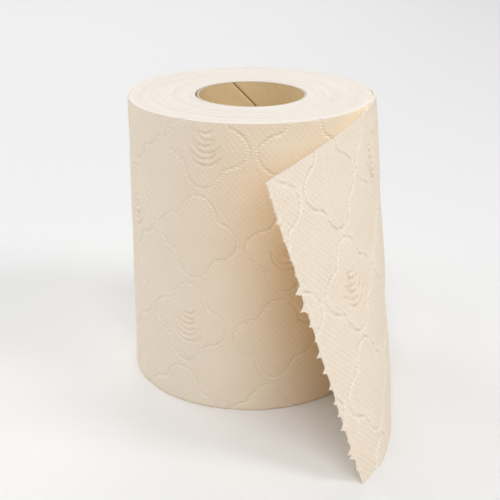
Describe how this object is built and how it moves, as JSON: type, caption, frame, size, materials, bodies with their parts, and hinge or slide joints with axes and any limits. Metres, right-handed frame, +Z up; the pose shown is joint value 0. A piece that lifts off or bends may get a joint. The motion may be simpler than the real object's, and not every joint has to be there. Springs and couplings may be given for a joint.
{
  "type": "toilet paper roll",
  "caption": "Roll of embossed toilet tissue wound on a spiral cardboard tube, standing on its end, with its outermost sheet hanging loose beside it.",
  "frame": {"origin": "on the roll's axis, at its lower end face", "axes": "+Z up along the tube's bore; the loose sheet leaves the roll on the +X side and comes round towards -Y"},
  "size_m": [0.0988, 0.1393, 0.11],
  "materials": {
    "cardboard": "plain brown tube board, matt, with a butt seam of its inner ply",
    "tissue": "soft cream two-ply tissue, matt, embossed all over"
  },
  "bodies": {
    "root": {"cardboard_core": "cardboard", "tissue_roll": "tissue"}
  },
  "joints": []
}
